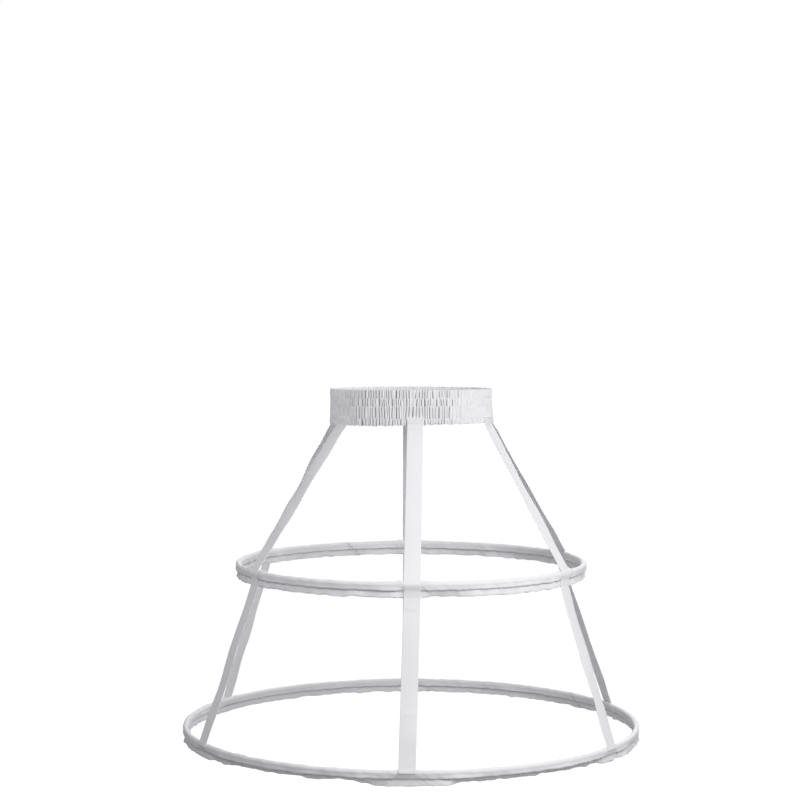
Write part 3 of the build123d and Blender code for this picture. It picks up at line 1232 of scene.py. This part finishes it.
@dataclass
class Casing:
    """A strip of cloth folded over a bone, stitched below it, with a soft two-layer hem.

    Attributes:
        hoop: The hoop that it is on.
        crossings: The azimuth of each tape, and how high the cloth is drawn up beside it.
        tilts: How far the hem leans out at each azimuth, in degrees.
        join: The azimuth of the slanting join of the strip's ends.
        seed: Picks the unevenness of the sewing.
        columns: The points round the hoop.
        seat: How far from a tape's middle the cloth starts to come free, and is free.
        flat_seat: The same for the puckers.
        tape_edge: How far from a tape's middle its edge lies, with a little room.
        tent_rise: How far from a tape's middle the drawn-up cloth starts, and is highest.
        tent_fade: How soon the cloth beside a tape comes down.
        tent_foot: How far down the tube the drawn-up cloth starts.
        gape: How far the hem's layers part, in degrees, and the most that they may.
        pucker_reach: How far from the stitch line the puckers go.
        slants: How far the puckers and the slack run along the hoop to a step across the strip.
        drag: The height, wavelength, slant and place of the drag lines beside a tape.
        groove: The shade in the groove at the stitch line, its place and its width.
        ridge: The height and width of the ridge at the join.
        ditch: The depth and place of the hollows beside the ridge.
        join_shade: The shade beside the ridge, its place and its width.
        round_sway: The unevenness of the tube's size.
        side_sway: How far the stitch line wanders in and out.
        drop_sway: How far it wanders up and down.
        tilt_sway: The unevenness of the hem's lean, in degrees.
        gape_sway: The unevenness of the gape, in degrees.
        hem_sway: The unevenness of the hem's height.
        flutter_sway: The flutter of the hem's edge.
        belly_sway: The unevenness of the slack cloth's bulge.
        pucker_sway: The puckers along the stitch line.
        slack_sway: The faint waves of the slack cloth.
    """

    hoop: Hoop
    crossings: Table
    tilts: Table
    join: float
    seed: int
    columns: int
    seat: Span = (11 * MM, 24 * MM)
    flat_seat: Span = (11 * MM, 18 * MM)
    tape_edge: float = 12 * MM
    tent_rise: Span = (10 * MM, 12.5 * MM)
    tent_fade: float = 15 * MM
    tent_foot: float = 0.3
    gape: Span = (4.0, 20.0)
    pucker_reach: float = 4 * MM
    slants: Span = (0.5, 1.3)
    drag: tuple[float, float, float, float] = (0.22 * MM, 9 * MM, 0.9, 8 * MM)
    groove: Triple = (0.9, 0.4 * MM, 1.6 * MM)
    ridge: Span = (0.6 * MM, 1.8 * MM)
    ditch: Span = (0.25 * MM, 4.0 * MM)
    join_shade: Triple = (0.5, 3.4 * MM, 1.7 * MM)
    round_sway: Sway = Sway(1, 25 * MM, 180 * MM, 0.05)
    side_sway: Sway = Sway(2, 20 * MM, 120 * MM, 0.3 * MM)
    drop_sway: Sway = Sway(3, 15 * MM, 90 * MM, 0.3 * MM)
    tilt_sway: Sway = Sway(4, 40 * MM, 200 * MM, 4.0)
    gape_sway: Sway = Sway(5, 30 * MM, 120 * MM, 5.0)
    hem_sway: Sway = Sway(6, 35 * MM, 160 * MM, 0.35 * MM)
    flutter_sway: Sway = Sway(8, 18 * MM, 60 * MM, 0.22 * MM)
    belly_sway: Sway = Sway(8, 60 * MM, 240 * MM, 0.25)
    pucker_sway: Sway = Sway(11, 6 * MM, 15 * MM, 0.13 * MM)
    slack_sway: Sway = Sway(13, 14 * MM, 60 * MM, 0.12 * MM)
    lines: list[SewnLine] = field(default_factory=list)
    edges: list[SewnLine] = field(default_factory=list)

    def __post_init__(self) -> None:
        """Works out the length of the ring."""
        self.ring = TAU * self.hoop.radius

    def uneven(self, sway: Sway, turn: Array, layer: int = 0) -> Array:
        """Reads an unevenness of the sewing.

        Args:
            sway: The unevenness.
            turn: Shares of the way round.
            layer: Picks another form for the second layer of cloth.

        Returns:
            The unevenness at each share.
        """
        lowest = max(1, round(self.ring / sway.longest))
        highest = round(self.ring / sway.shortest)
        return Ripple(self.seed + sway.kind, lowest, highest, sway.height).at(turn, layer)

    def from_tapes(self, turn: Array) -> list[Array]:
        """How far along the hoop each place is from each tape's middle."""
        radius = self.hoop.radius
        return [radius * np.radians(turn_apart(turn * 360, tape)) for tape, _ in self.crossings]

    def from_join(self, turn: Array, width: Array) -> Array:
        """How far along the hoop each place is from the slanting join of the strip's ends."""
        arc = self.ring * (turn[None, :] - self.join / 360) + width[:, None]
        return (arc + self.ring / 2) % self.ring - self.ring / 2

    def section(self, turn: Array) -> tuple[Array, Array]:
        """The middle of the cloth across the strip, from the outer hem over the bone to the inner hem.

        Args:
            turn: Shares of the way round.

        Returns:
            How far out from and how far up from the bone each place is.
        """
        hoop = self.hoop
        reaches = [np.abs(reach) for reach in self.from_tapes(turn)]
        free = np.min([smooth(*self.seat, reach) for reach in reaches], axis=0)
        tent = sum(
            lift * smooth(*self.tent_rise, reach)
            * np.exp(-np.maximum(reach - self.tape_edge, 0) / self.tent_fade)
            for reach, (_, lift) in zip(reaches, self.crossings)
        )
        round_size = (hoop.tube - hoop.cloth / 2) * (1 + free * self.uneven(self.round_sway, turn))
        wander = free * self.uneven(self.side_sway, turn)
        drop = -hoop.stitch_drop + free * self.uneven(self.drop_sway, turn)
        tilt = read_round(self.tilts, turn * 360) + self.uneven(self.tilt_sway, turn)
        belly = hoop.belly * free * (1 + self.uneven(self.belly_sway, turn))
        gape = np.clip(self.gape[0] + self.uneven(self.gape_sway, turn), 0, self.gape[1])
        columns = []
        for layer, side in enumerate((1, -1)):
            stitch_x = wander + side * hoop.layer
            start = np.arctan2(drop, side * stitch_x) + np.arccos(round_size / np.hypot(stitch_x, drop))
            lean = np.radians(tilt + side * gape / 2) * free
            length = hoop.hem + self.uneven(self.hem_sway, turn, layer)
            flutter = free * self.uneven(self.flutter_sway, turn, layer)
            rows = []
            for share in HEM_SHARES:
                hang = length * (1 - share)
                x = stitch_x + hang * np.sin(lean) + flutter * (1 - share) ** 2
                rows.append((x, drop - hang * np.cos(lean)))
            flank_x = side * round_size * np.cos(start) - stitch_x
            flank_z = round_size * np.sin(start) - drop
            flank = np.hypot(flank_x, flank_z)
            for share in FLANK_SHARES:
                bulge = belly * BULGE_PEAK * share * (1 - share) ** 2 / flank
                x = stitch_x + flank_x * share + side * flank_z * bulge
                rows.append((x, drop + flank_z * share - side * flank_x * bulge))
            for share in TUBE_SHARES:
                bend = start + (math.pi / 2 - start) * share
                lift = tent * np.clip((np.sin(bend) + self.tent_foot) / (1 + self.tent_foot), 0, 1)
                rows.append((side * round_size * np.cos(bend), round_size * np.sin(bend) + lift))
            columns.append(rows)
        top = (np.zeros_like(turn), round_size + tent)
        across = [*columns[0], top, *columns[1][::-1]]
        return np.array([x for x, _ in across]), np.array([z for _, z in across])

    def relief(self, turn: Array, width: Array) -> Array:
        """Puckers along the stitch line, drag lines beside the tapes, and the slanting join.

        Args:
            turn: Shares of the way round.
            width: The place of each row across the strip, from the top of the fold.

        Returns:
            How far the cloth stands out at each place.
        """
        reaches = [np.abs(reach) for reach in self.from_tapes(turn)]
        free = np.min([smooth(*self.flat_seat, reach) for reach in reaches], axis=0)
        height, wave, slant, place = self.drag
        pucker_slant, slack_slant = self.slants
        total = np.zeros((len(width), len(turn)))
        for row, across in enumerate(width):
            layer = int(across >= 0)
            near = bell(abs(across) - abs(width[STITCH_ROW]), self.pucker_reach)
            pucker = self.uneven(self.pucker_sway, turn + pucker_slant * across / self.ring, layer) * near
            slack = self.uneven(self.slack_sway, turn + slack_slant * across / self.ring, layer)
            total[row] += free * (pucker + slack)
            for reach in reaches:
                beside = reach - self.tape_edge
                drag = np.cos(TAU * (reach + slant * across) / wave)
                total[row] += height * drag * bell(beside - place, place) * (beside > 0)
        apart = self.from_join(turn, width)
        ridge = self.ridge[0] * bell(apart, self.ridge[1])
        return total + ridge - self.ditch[0] * bell(np.abs(apart) - self.ditch[1], self.ridge[1])

    def build(self, wardrobe: Wardrobe) -> Piece:
        """Makes the casing.

        Args:
            wardrobe: The materials.

        Returns:
            The casing's piece.
        """
        hoop = self.hoop
        turn = np.arange(self.columns) / self.columns
        x, z = self.section(turn)
        rows = len(x)
        normal_x, normal_z = np.gradient(z, axis=0), -np.gradient(x, axis=0)
        size = np.hypot(normal_x, normal_z)
        normal_x, normal_z = normal_x / size, normal_z / size
        steps = np.hypot(np.diff(x, axis=0), np.diff(z, axis=0)).mean(1)
        width = np.concatenate([[0], np.cumsum(steps)])
        width -= width[rows // 2]
        lift = self.relief(turn, width)
        x, z = x + normal_x * lift, z + normal_z * lift
        azimuth = np.broadcast_to(turn * TAU, x.shape)
        half = hoop.cloth / 2
        lining = np.arange(0, rows, 2)[::-1]
        outside = hoop.place(azimuth, x + normal_x * half, z + normal_z * half)
        inside = hoop.place(azimuth, x - normal_x * half, z - normal_z * half)[lining]
        out = hoop.direct(azimuth, normal_x, normal_z)
        middle = hoop.place(azimuth, x, z)
        self.lines += [stitch_row(outside[row], out[row]) for row in (STITCH_ROW, rows - 1 - STITCH_ROW)]
        for row, nearer in ((0, 1), (rows - 1, rows - 2)):
            self.edges.append(SewnLine(middle[row], out[row], unit(middle[row] - middle[nearer]), True))
        points = np.concatenate([outside, inside])
        # Painted shade: dark in the groove at the stitch line, and a dark line beside the join's ridge.
        shade, place, spread = self.groove
        groove = bell(np.abs(width) - abs(width[STITCH_ROW]) + place, spread)[:, None]
        join_shade, place, spread = self.join_shade
        painted_shade = np.zeros(points.shape[:2])
        beside_join = bell(self.from_join(turn, width) + place, spread)
        painted_shade[:rows] = shade * groove + join_shade * (1 - groove) * beside_join
        across = np.concatenate([width, width[lining], width[:1]])
        along = np.linspace(0, self.ring, self.columns + 1)
        piece = cloth_piece(hoop.name + "_casing_cloth", points, along, across, painted_shade)
        return dress(piece, wardrobe.cotton, Slot.COTTON, hoop.name + "_casing")


@dataclass
class Tape:
    """A ribbon from the waistband over the upper hoop to the lower hoop.

    Attributes:
        route: Where it crosses the pieces that hold it.
        band: The waistband.
        upper: The upper hoop.
        lower: The lower hoop.
        seed: Picks its faint waves.
        width: The ribbon's width.
        thickness: The ribbon's thickness.
        lap: How far its upper end lies up the waistband.
        press: How far the band's gathers stand out under its end.
        gap: The clearance from the casings.
        stations: The points along it.
        wrap_steps: The points round a hoop's tube.
        columns: The points from its middle to an edge, in shares of half its width.
        end_angle: The angle on the lower hoop's tube at which it ends, in degrees.
        hang: How far below the waistband it hangs straight.
        soft: How far its corners are smoothed, in points, and how far near the waist.
        near_waist: How far along it the smoothing of the waist ends, and is full.
        selvedge: How much thicker it is along the edges, and where and how wide that is.
        thinning: How much thinner its very edges are, and where that starts and is full.
        turned: How much the folded upper end and lower end add to its front.
        turns: How long the folded upper end and lower end are.
        fold_step: How long the step at a folded end is.
        upper_seams: How far from its upper end the two rows of stitches there lie.
        end_seam: How far from its lower end the row of stitches there lies.
        margin: How far from the edges its stitches stop.
        seam_points: The points along a row of its stitches.
        thread_lift: How far its stitches lie off it.
        wave_turn: The share of a turn of its waves that it shows.
        seat_drop: How far below the middle of the upper hoop its seat there lies.
        seat_free: How far above or below a seat it starts to come free, and is free.
        waist_free: How far along it the waves start, and are full.
        bow: How far it bows in and out.
        twist: How far its edges twist in and out.
        cup: How far its edges curl in.
        bulge: How far below its upper end it bulges most.
        crease_width: How wide its cross creases are.
    """

    route: TapeRoute
    band: Waistband
    upper: Hoop
    lower: Hoop
    seed: int
    width: float = 22 * MM
    thickness: float = 0.8 * MM
    lap: float = 9 * MM
    press: float = 1.5 * MM
    gap: float = 0.22 * MM
    stations: int = 400
    wrap_steps: int = 12
    columns: tuple[float, ...] = (0.0, 0.25, 0.5, 0.75, 0.87, 0.93, 0.975, 1.0)
    end_angle: float = -3.0
    hang: float = 3 * MM
    soft: Span = (1.0, 3.5)
    near_waist: Span = (55 * MM, 30 * MM)
    selvedge: Triple = (0.22, 0.93, 0.035)
    thinning: Triple = (0.55, 0.97, 1.0)
    turned: Span = (0.45 * MM, 0.35 * MM)
    turns: Span = (7.0 * MM, 5.4 * MM)
    fold_step: float = 0.6 * MM
    upper_seams: Span = (1.8 * MM, 6.0 * MM)
    end_seam: float = 1.6 * MM
    margin: float = 1.2 * MM
    seam_points: int = 15
    thread_lift: float = 0.1 * MM
    wave_turn: float = 0.8
    seat_drop: float = 4 * MM
    seat_free: Span = (14 * MM, 45 * MM)
    waist_free: Span = (12 * MM, 60 * MM)
    bow: float = 0.5 * MM
    twist: float = 0.45 * MM
    cup: float = 0.25 * MM
    bulge: float = 28 * MM
    crease_width: float = 2.4 * MM
    lines: list[SewnLine] = field(default_factory=list)

    def wrap(self, hoop: Hoop, azimuth: float, above: Array, until: float) -> Array:
        """The part of the line that lies on a hoop's tube.

        Args:
            hoop: The hoop.
            azimuth: Where the line crosses it, in radians.
            above: The last point before the hoop.
            until: The angle on the tube at which the line leaves it.

        Returns:
            Points round the tube.
        """
        size = hoop.tube + self.gap + self.thickness / 2
        out, up = float(above @ rays(np.array(azimuth))) - hoop.radius, above[2] - hoop.height
        touch = math.atan2(up, out) - math.acos(size / math.hypot(out, up))
        bend = np.linspace(touch, until, self.wrap_steps)
        return hoop.place(np.full(self.wrap_steps, azimuth), size * np.cos(bend), size * np.sin(bend))

    def line(self, across: float) -> Array:
        """The tape's line at a distance across from its middle.

        Args:
            across: The distance from the tape's middle.

        Returns:
            Evenly spaced points from the waistband down.
        """
        oval, top, upper, lower = self.band.oval, self.band.top, self.upper, self.lower
        angle = oval.angle(self.route.waist)
        angle += across / float(oval.speed(np.array(angle)))
        rise = np.full(3, self.press + self.thickness / 2)
        heights = np.array([self.lap - top, -top, -top - self.hang])
        start = oval.points(np.full(3, angle), rise, heights)
        upper_turn = math.radians(self.route.upper) + across / upper.radius
        size = upper.tube + self.gap + self.thickness / 2
        groove_x = upper.layer + upper.cloth / 2 + self.gap + self.thickness / 2
        groove_z = -upper.stitch_drop
        leave = math.atan2(groove_z, groove_x) + math.acos(size / math.hypot(groove_x, groove_z))
        over = self.wrap(upper, upper_turn, start[-1], leave)
        hem_z = np.array([groove_z, groove_z - upper.hem])
        hem = upper.place(np.full(2, upper_turn), np.full(2, groove_x), hem_z)
        lower_turn = math.radians(self.route.lower) + across / lower.radius
        end = self.wrap(lower, lower_turn, hem[-1], math.radians(self.end_angle))
        corners = np.concatenate([start, over, hem, end])
        length = travelled(corners)
        even = np.linspace(0, length[-1], self.stations)
        points = np.stack([np.interp(even, length, corners[:, axis]) for axis in range(3)], -1)
        near_waist = smooth(*self.near_waist, even)[:, None]
        crisp, loose = (softened(points, spread) for spread in self.soft)
        return crisp * (1 - near_waist) + loose * near_waist

    def waves(self, travel: Array, across: Array, height: Array) -> Array:
        """The ribbon's faint waves and creases between its seats.

        Args:
            travel: How far along the ribbon each station is.
            across: How far from the middle each column is.
            height: The height of each station.

        Returns:
            How far the ribbon stands out at each place.
        """
        share = self.wave_turn * (travel / travel[-1])
        seats = (self.upper.height - self.seat_drop, self.lower.height)
        away = np.min([smooth(*self.seat_free, np.abs(height - seat)) for seat in seats], axis=0)
        away = away * smooth(*self.waist_free, travel)
        bow = Ripple(self.seed, 1, 7, self.bow).at(share) * away
        twist = Ripple(self.seed + 1, 1, 9, self.twist).at(share) * away
        flat = across / (self.width / 2)
        total = bow[:, None] + twist[:, None] * flat - self.cup * away[:, None] * flat**2
        below = np.maximum(travel - self.lap, 0) / self.bulge
        total += (self.route.bow * below * np.exp(1 - below))[:, None]
        for level, lift, slant in self.route.creases:
            apart = travel[:, None] - travel[nearest(height, level)] - slant * across
            total += lift * MM * bell(apart, self.crease_width)
        return total

    def build(self, wardrobe: Wardrobe) -> Piece:
        """Makes the tape.

        Args:
            wardrobe: The materials.

        Returns:
            The tape's piece.
        """
        edge = self.width / 2
        shares = np.array(self.columns)
        across = np.concatenate([-shares[:0:-1], shares]) * edge
        centre = len(shares) - 1
        net = np.stack([self.line(place) for place in across], 1)
        down = unit(np.gradient(net, axis=0))
        out = unit(np.cross(down, unit(np.gradient(net, across, axis=1))))
        middle = net[:, centre]
        travel = travelled(middle)
        net = net + out * self.waves(travel, across, middle[:, 2])[..., None]
        flat = np.abs(across) / edge
        thicker, place, spread = self.selvedge
        half = self.thickness / 2 * (1 + thicker * bell(flat - place, spread))
        thinner, starts, ends = self.thinning
        half = half * (1 - thinner * smooth(starts, ends, flat))
        turned = sum(
            more * smooth(length + self.fold_step, length, distance)
            for more, length, distance in zip(self.turned, self.turns, (travel, travel[-1] - travel))
        )
        front = net + out * (half + turned[:, None])[..., None]
        back = net - out * half[None, :, None]
        points = np.concatenate([front, back[:, ::-1]], axis=1)
        reach = edge - self.margin
        seam = np.linspace(-reach, reach, self.seam_points)
        groove = nearest(middle[:, 2], self.upper.height - self.upper.stitch_drop)
        for stitched in (*self.upper_seams, travel[groove], travel[-1] - self.end_seam):
            station = nearest(travel, stitched)
            row, away = (
                np.stack([np.interp(seam, across, values[station, :, axis]) for axis in range(3)], -1)
                for values in (front, out)
            )
            fall = np.tile(down[station, centre], (len(seam), 1))
            self.lines.append(SewnLine(row + away * self.thread_lift, unit(away), fall, False))
        along = np.concatenate([across, across[::-1], across[:1]]) + edge
        piece = cloth_piece(self.route.node + "_ribbon", points, along, travel)
        return dress(piece, wardrobe.ribbon, Slot.RIBBON, self.route.node)


@dataclass(frozen=True)
class Lamp:
    """A soft round lamp.

    Attributes:
        name: The lamp's name.
        place: Where it is.
        aim: Where it points.
        size: How wide it is.
        power: Its power in watts.
        colour: Its colour.
    """

    name: str
    place: Place
    aim: Place
    size: float
    power: float
    colour: Colour = (1.0, 1.0, 1.0)

    def build(self) -> None:
        """Hangs the lamp."""
        lamp = bpy.data.lights.new(self.name, "AREA")
        lamp.shape = "DISK"
        lamp.size = self.size
        lamp.energy = self.power
        lamp.color = self.colour
        holder = bpy.data.objects.new(self.name, lamp)
        holder.location = self.place
        towards = Vector(self.aim) - Vector(self.place)
        holder.rotation_euler = towards.to_track_quat("-Z", "Y").to_euler()
        holder.visible_camera = False
        bpy.context.scene.collection.objects.link(holder)


@dataclass
class Studio:
    """A plain pale floor, soft lamps and the camera.

    Attributes:
        floor_height: The floor's height, as far below the waist as a standing wearer's.
        floor_reach: How far the floor goes each way.
        floor_colour: The floor's own colour.
        pool: How far from the cage the floor's painted glow starts to grow, and is full, so that the floor
            looks white.
        pool_glow: The share of the painted glow below the cage, where the floor looks dimmer.
        camera_place: The camera's place.
        tilt: How far the camera looks down, in degrees.
        lens: The camera's focal length in millimetres.
        sensor: The width of the camera's frame in millimetres.
        sight: How far the camera sees.
        lamps: The lamps.
        ambient: The strength of the light from all round.
    """

    floor_height: float = -1.02
    floor_reach: float = 60.0
    floor_colour: Colour = (0.6, 0.6, 0.61)
    pool: Span = (0.9, 1.85)
    pool_glow: float = 0.16
    camera_place: Place = (-0.0157, -2.753, 0.1075)
    tilt: float = 2.08
    lens: float = 86.6
    sensor: float = 36.0
    sight: float = 200.0
    lamps: tuple[Lamp, ...] = (
        Lamp("key", (0.98, -0.88, 0.32), (0.05, -0.1, -0.2), 0.5, 10.6, (1.0, 0.99, 0.98)),
        Lamp("front", (0.0, -1.25, 0.0), (0.0, -0.2, -0.2), 0.6, 3.6),
        Lamp("left", (-0.95, -0.5, 0.35), (0.0, 0.0, -0.2), 0.6, 3.6, (0.98, 0.99, 1.0)),
        Lamp("top", (0.0, 0.0, 1.15), (0.0, 0.0, -0.3), 0.8, 4.0),
        Lamp("back", (0.5, 1.6, 0.6), (0.0, 0.1, -0.2), 1.0, 20.0),
    )
    ambient: float = 0.04

    def build(self) -> None:
        """Sets up the floor, the lamps, the surroundings and the camera."""
        scene = bpy.context.scene
        scene.view_settings.view_transform = "Standard"
        self.floor()
        for lamp in self.lamps:
            lamp.build()
        self.surroundings(scene)
        camera = bpy.data.cameras.new("camera")
        camera.lens = self.lens
        camera.sensor_width = self.sensor
        camera.clip_end = self.sight
        holder = bpy.data.objects.new("camera", camera)
        holder.location = self.camera_place
        holder.rotation_euler = (math.radians(90 - self.tilt), 0, 0)
        scene.collection.objects.link(holder)
        scene.camera = holder

    def seen(self, nodes: Nodes) -> Socket:
        """Adds nodes that tell how the background is seen.

        Args:
            nodes: The tree that takes the nodes.

        Returns:
            1 where it is seen straight, in gloss or through a piece, and 0 elsewhere.
        """
        path = nodes.node("ShaderNodeLightPath").outputs
        most = nodes.math("MAXIMUM", path["Is Camera Ray"], path["Is Glossy Ray"])
        return nodes.math("MAXIMUM", most, path["Is Transmission Ray"])

    def surroundings(self, scene: bpy.types.Scene) -> None:
        """Lights the scene evenly from all round, with a white background.

        Args:
            scene: The scene.
        """
        world = bpy.data.worlds.new("studio")
        world.use_nodes = True
        scene.world = world
        nodes = Nodes(world.node_tree)
        glow = nodes.tree.nodes["Background"].inputs
        glow["Color"].default_value = (1, 1, 1, 1)
        links = {"To Min": self.ambient, "To Max": 1.0, "Value": self.seen(nodes)}
        strength = nodes.node("ShaderNodeMapRange", links).outputs["Result"]
        nodes.tree.links.new(strength, glow["Strength"])

    def floor(self) -> None:
        """Lays the floor: white from afar by a painted glow seen straight, and pale with the cage's shadow
        below it, where the glow is dimmer.
        """
        reach = self.floor_reach
        corners = [(-reach, -reach), (reach, -reach), (reach, reach), (-reach, reach)]
        mesh = bpy.data.meshes.new("floor")
        mesh.from_pydata([(x, y, self.floor_height) for x, y in corners], [], [(0, 1, 2, 3)])
        floor = bpy.data.objects.new("floor", mesh)
        bpy.context.scene.collection.objects.link(floor)
        material = bpy.data.materials.new("pale_floor")
        material.use_nodes = True
        nodes = Nodes(material.node_tree)
        nodes.tree.nodes.clear()
        # Painted glow: seen straight or in gloss, the floor glows white from afar, and less near the cage.
        place = nodes.node("ShaderNodeTexCoord").outputs["Object"]
        apart = nodes.node("ShaderNodeVectorMath", {"0": place}, operation="LENGTH").outputs["Value"]
        low, high = self.pool
        links = {"Value": apart, "From Min": low, "From Max": high, "To Min": self.pool_glow}
        white = nodes.node("ShaderNodeMapRange", links, interpolation_type="SMOOTHSTEP").outputs["Result"]
        glow = nodes.node("ShaderNodeEmission", {"Strength": nodes.math("MULTIPLY", white, self.seen(nodes))})
        matt = nodes.node("ShaderNodeBsdfDiffuse", {"Color": (*self.floor_colour, 1)})
        both = nodes.node("ShaderNodeAddShader", {"0": matt.outputs[0], "1": glow.outputs[0]})
        nodes.node("ShaderNodeOutputMaterial", {"Surface": both.outputs[0]})
        mesh.materials.append(material)


UPPER_LIFTS = (3.2, 2.4, 2.2, 2.2, 2.2, 2.8)
LOWER_LIFTS = (1.0, 0.9, 0.9, 0.9, 0.9, 0.9)
UPPER_CROSSINGS = tuple((route.upper, lift * MM) for route, lift in zip(ROUTES, UPPER_LIFTS))
LOWER_CROSSINGS = tuple((route.lower, lift * MM) for route, lift in zip(ROUTES, LOWER_LIFTS))
UPPER_TILTS = (
    (-180, 8), (-120, -10), (-75, 8), (-55, 14), (-30, 12), (-5, 8), (3, -14), (7, -26), (13, -22),
    (20, -4), (45, 2), (62, 4), (95, 8), (130, -8),
)
LOWER_TILTS = (
    (-180, 10), (-140, 4), (-100, -8), (-70, 6), (-54, -22), (-42, -50), (-14, -56), (-8, -8), (3, 8),
    (8, 10), (10, -30), (14, -50), (44, -52), (56, -26), (64, 10), (82, 12), (110, 2), (150, 8),
)


def finish_bones(wardrobe: Wardrobe) -> None:
    """Gives the bones and their sleeves, which stay as the solids have them, their materials.

    Args:
        wardrobe: The materials.
    """
    finishes = (("bone", wardrobe.jacket, Slot.JACKET), ("sleeve", wardrobe.sleeve, Slot.SLEEVE))
    for name in ("upper_hoop", "lower_hoop"):
        for part, material, slot in finishes:
            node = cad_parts[f"{name}_{part}"]
            node.data.materials.clear()
            node.data.materials.append(material)
            LOG.info("%s: %s", node.name, material.name)


def main() -> None:
    """Builds the cage piece by piece, and its studio."""
    logging.basicConfig(level=logging.INFO, format="%(message)s")
    wardrobe = Wardrobe()
    thread = wardrobe.thread
    band_sewing = RunningStitch(pitch=2.4 * MM, length=1.9 * MM, thickness=0.42 * MM, arch=0.3 * MM)
    hem_sewing = RunningStitch(pitch=2.6 * MM, length=2.1 * MM, thickness=0.4 * MM, arch=0.26 * MM)
    overlock = OverlockEdge(pitch=2.7 * MM, reach=3.6 * MM, cloth=0.85 * MM, thickness=0.44 * MM)

    band = Waistband()
    band_cloth = band.build(wardrobe)
    elastic = WaistElastic()
    elastic_band = elastic.build(wardrobe)
    band_rows = band_sewing.sew("waistband_stitches", band.lines, thread, Slot.COTTON, seed=1)
    elastic_rows = band_sewing.sew("waist_elastic_stitches", elastic.lines, thread, Slot.COTTON, seed=2)

    upper, lower = Hoop("upper_hoop"), Hoop("lower_hoop")
    casings = (
        Casing(upper, UPPER_CROSSINGS, UPPER_TILTS, join=205.0, seed=100, columns=960),
        Casing(lower, LOWER_CROSSINGS, LOWER_TILTS, join=130.0, seed=200, columns=1200),
    )
    for casing in casings:
        name = casing.hoop.name
        cloth = casing.build(wardrobe)
        row = hem_sewing.sew(name + "_stitches", casing.lines, thread, Slot.COTTON, seed=3)
        edge = overlock.sew(name + "_overlock", casing.edges, thread, Slot.COTTON, seed=4)

    for index, route in enumerate(ROUTES):
        tape = Tape(route, band, upper, lower, seed=300 + 10 * index)
        ribbon = tape.build(wardrobe)
        row = hem_sewing.sew(route.node + "_stitches", tape.lines, thread, Slot.RIBBON, seed=5 + index)

    finish_bones(wardrobe)
    Studio().build()


if __name__ == "__main__":
    main()
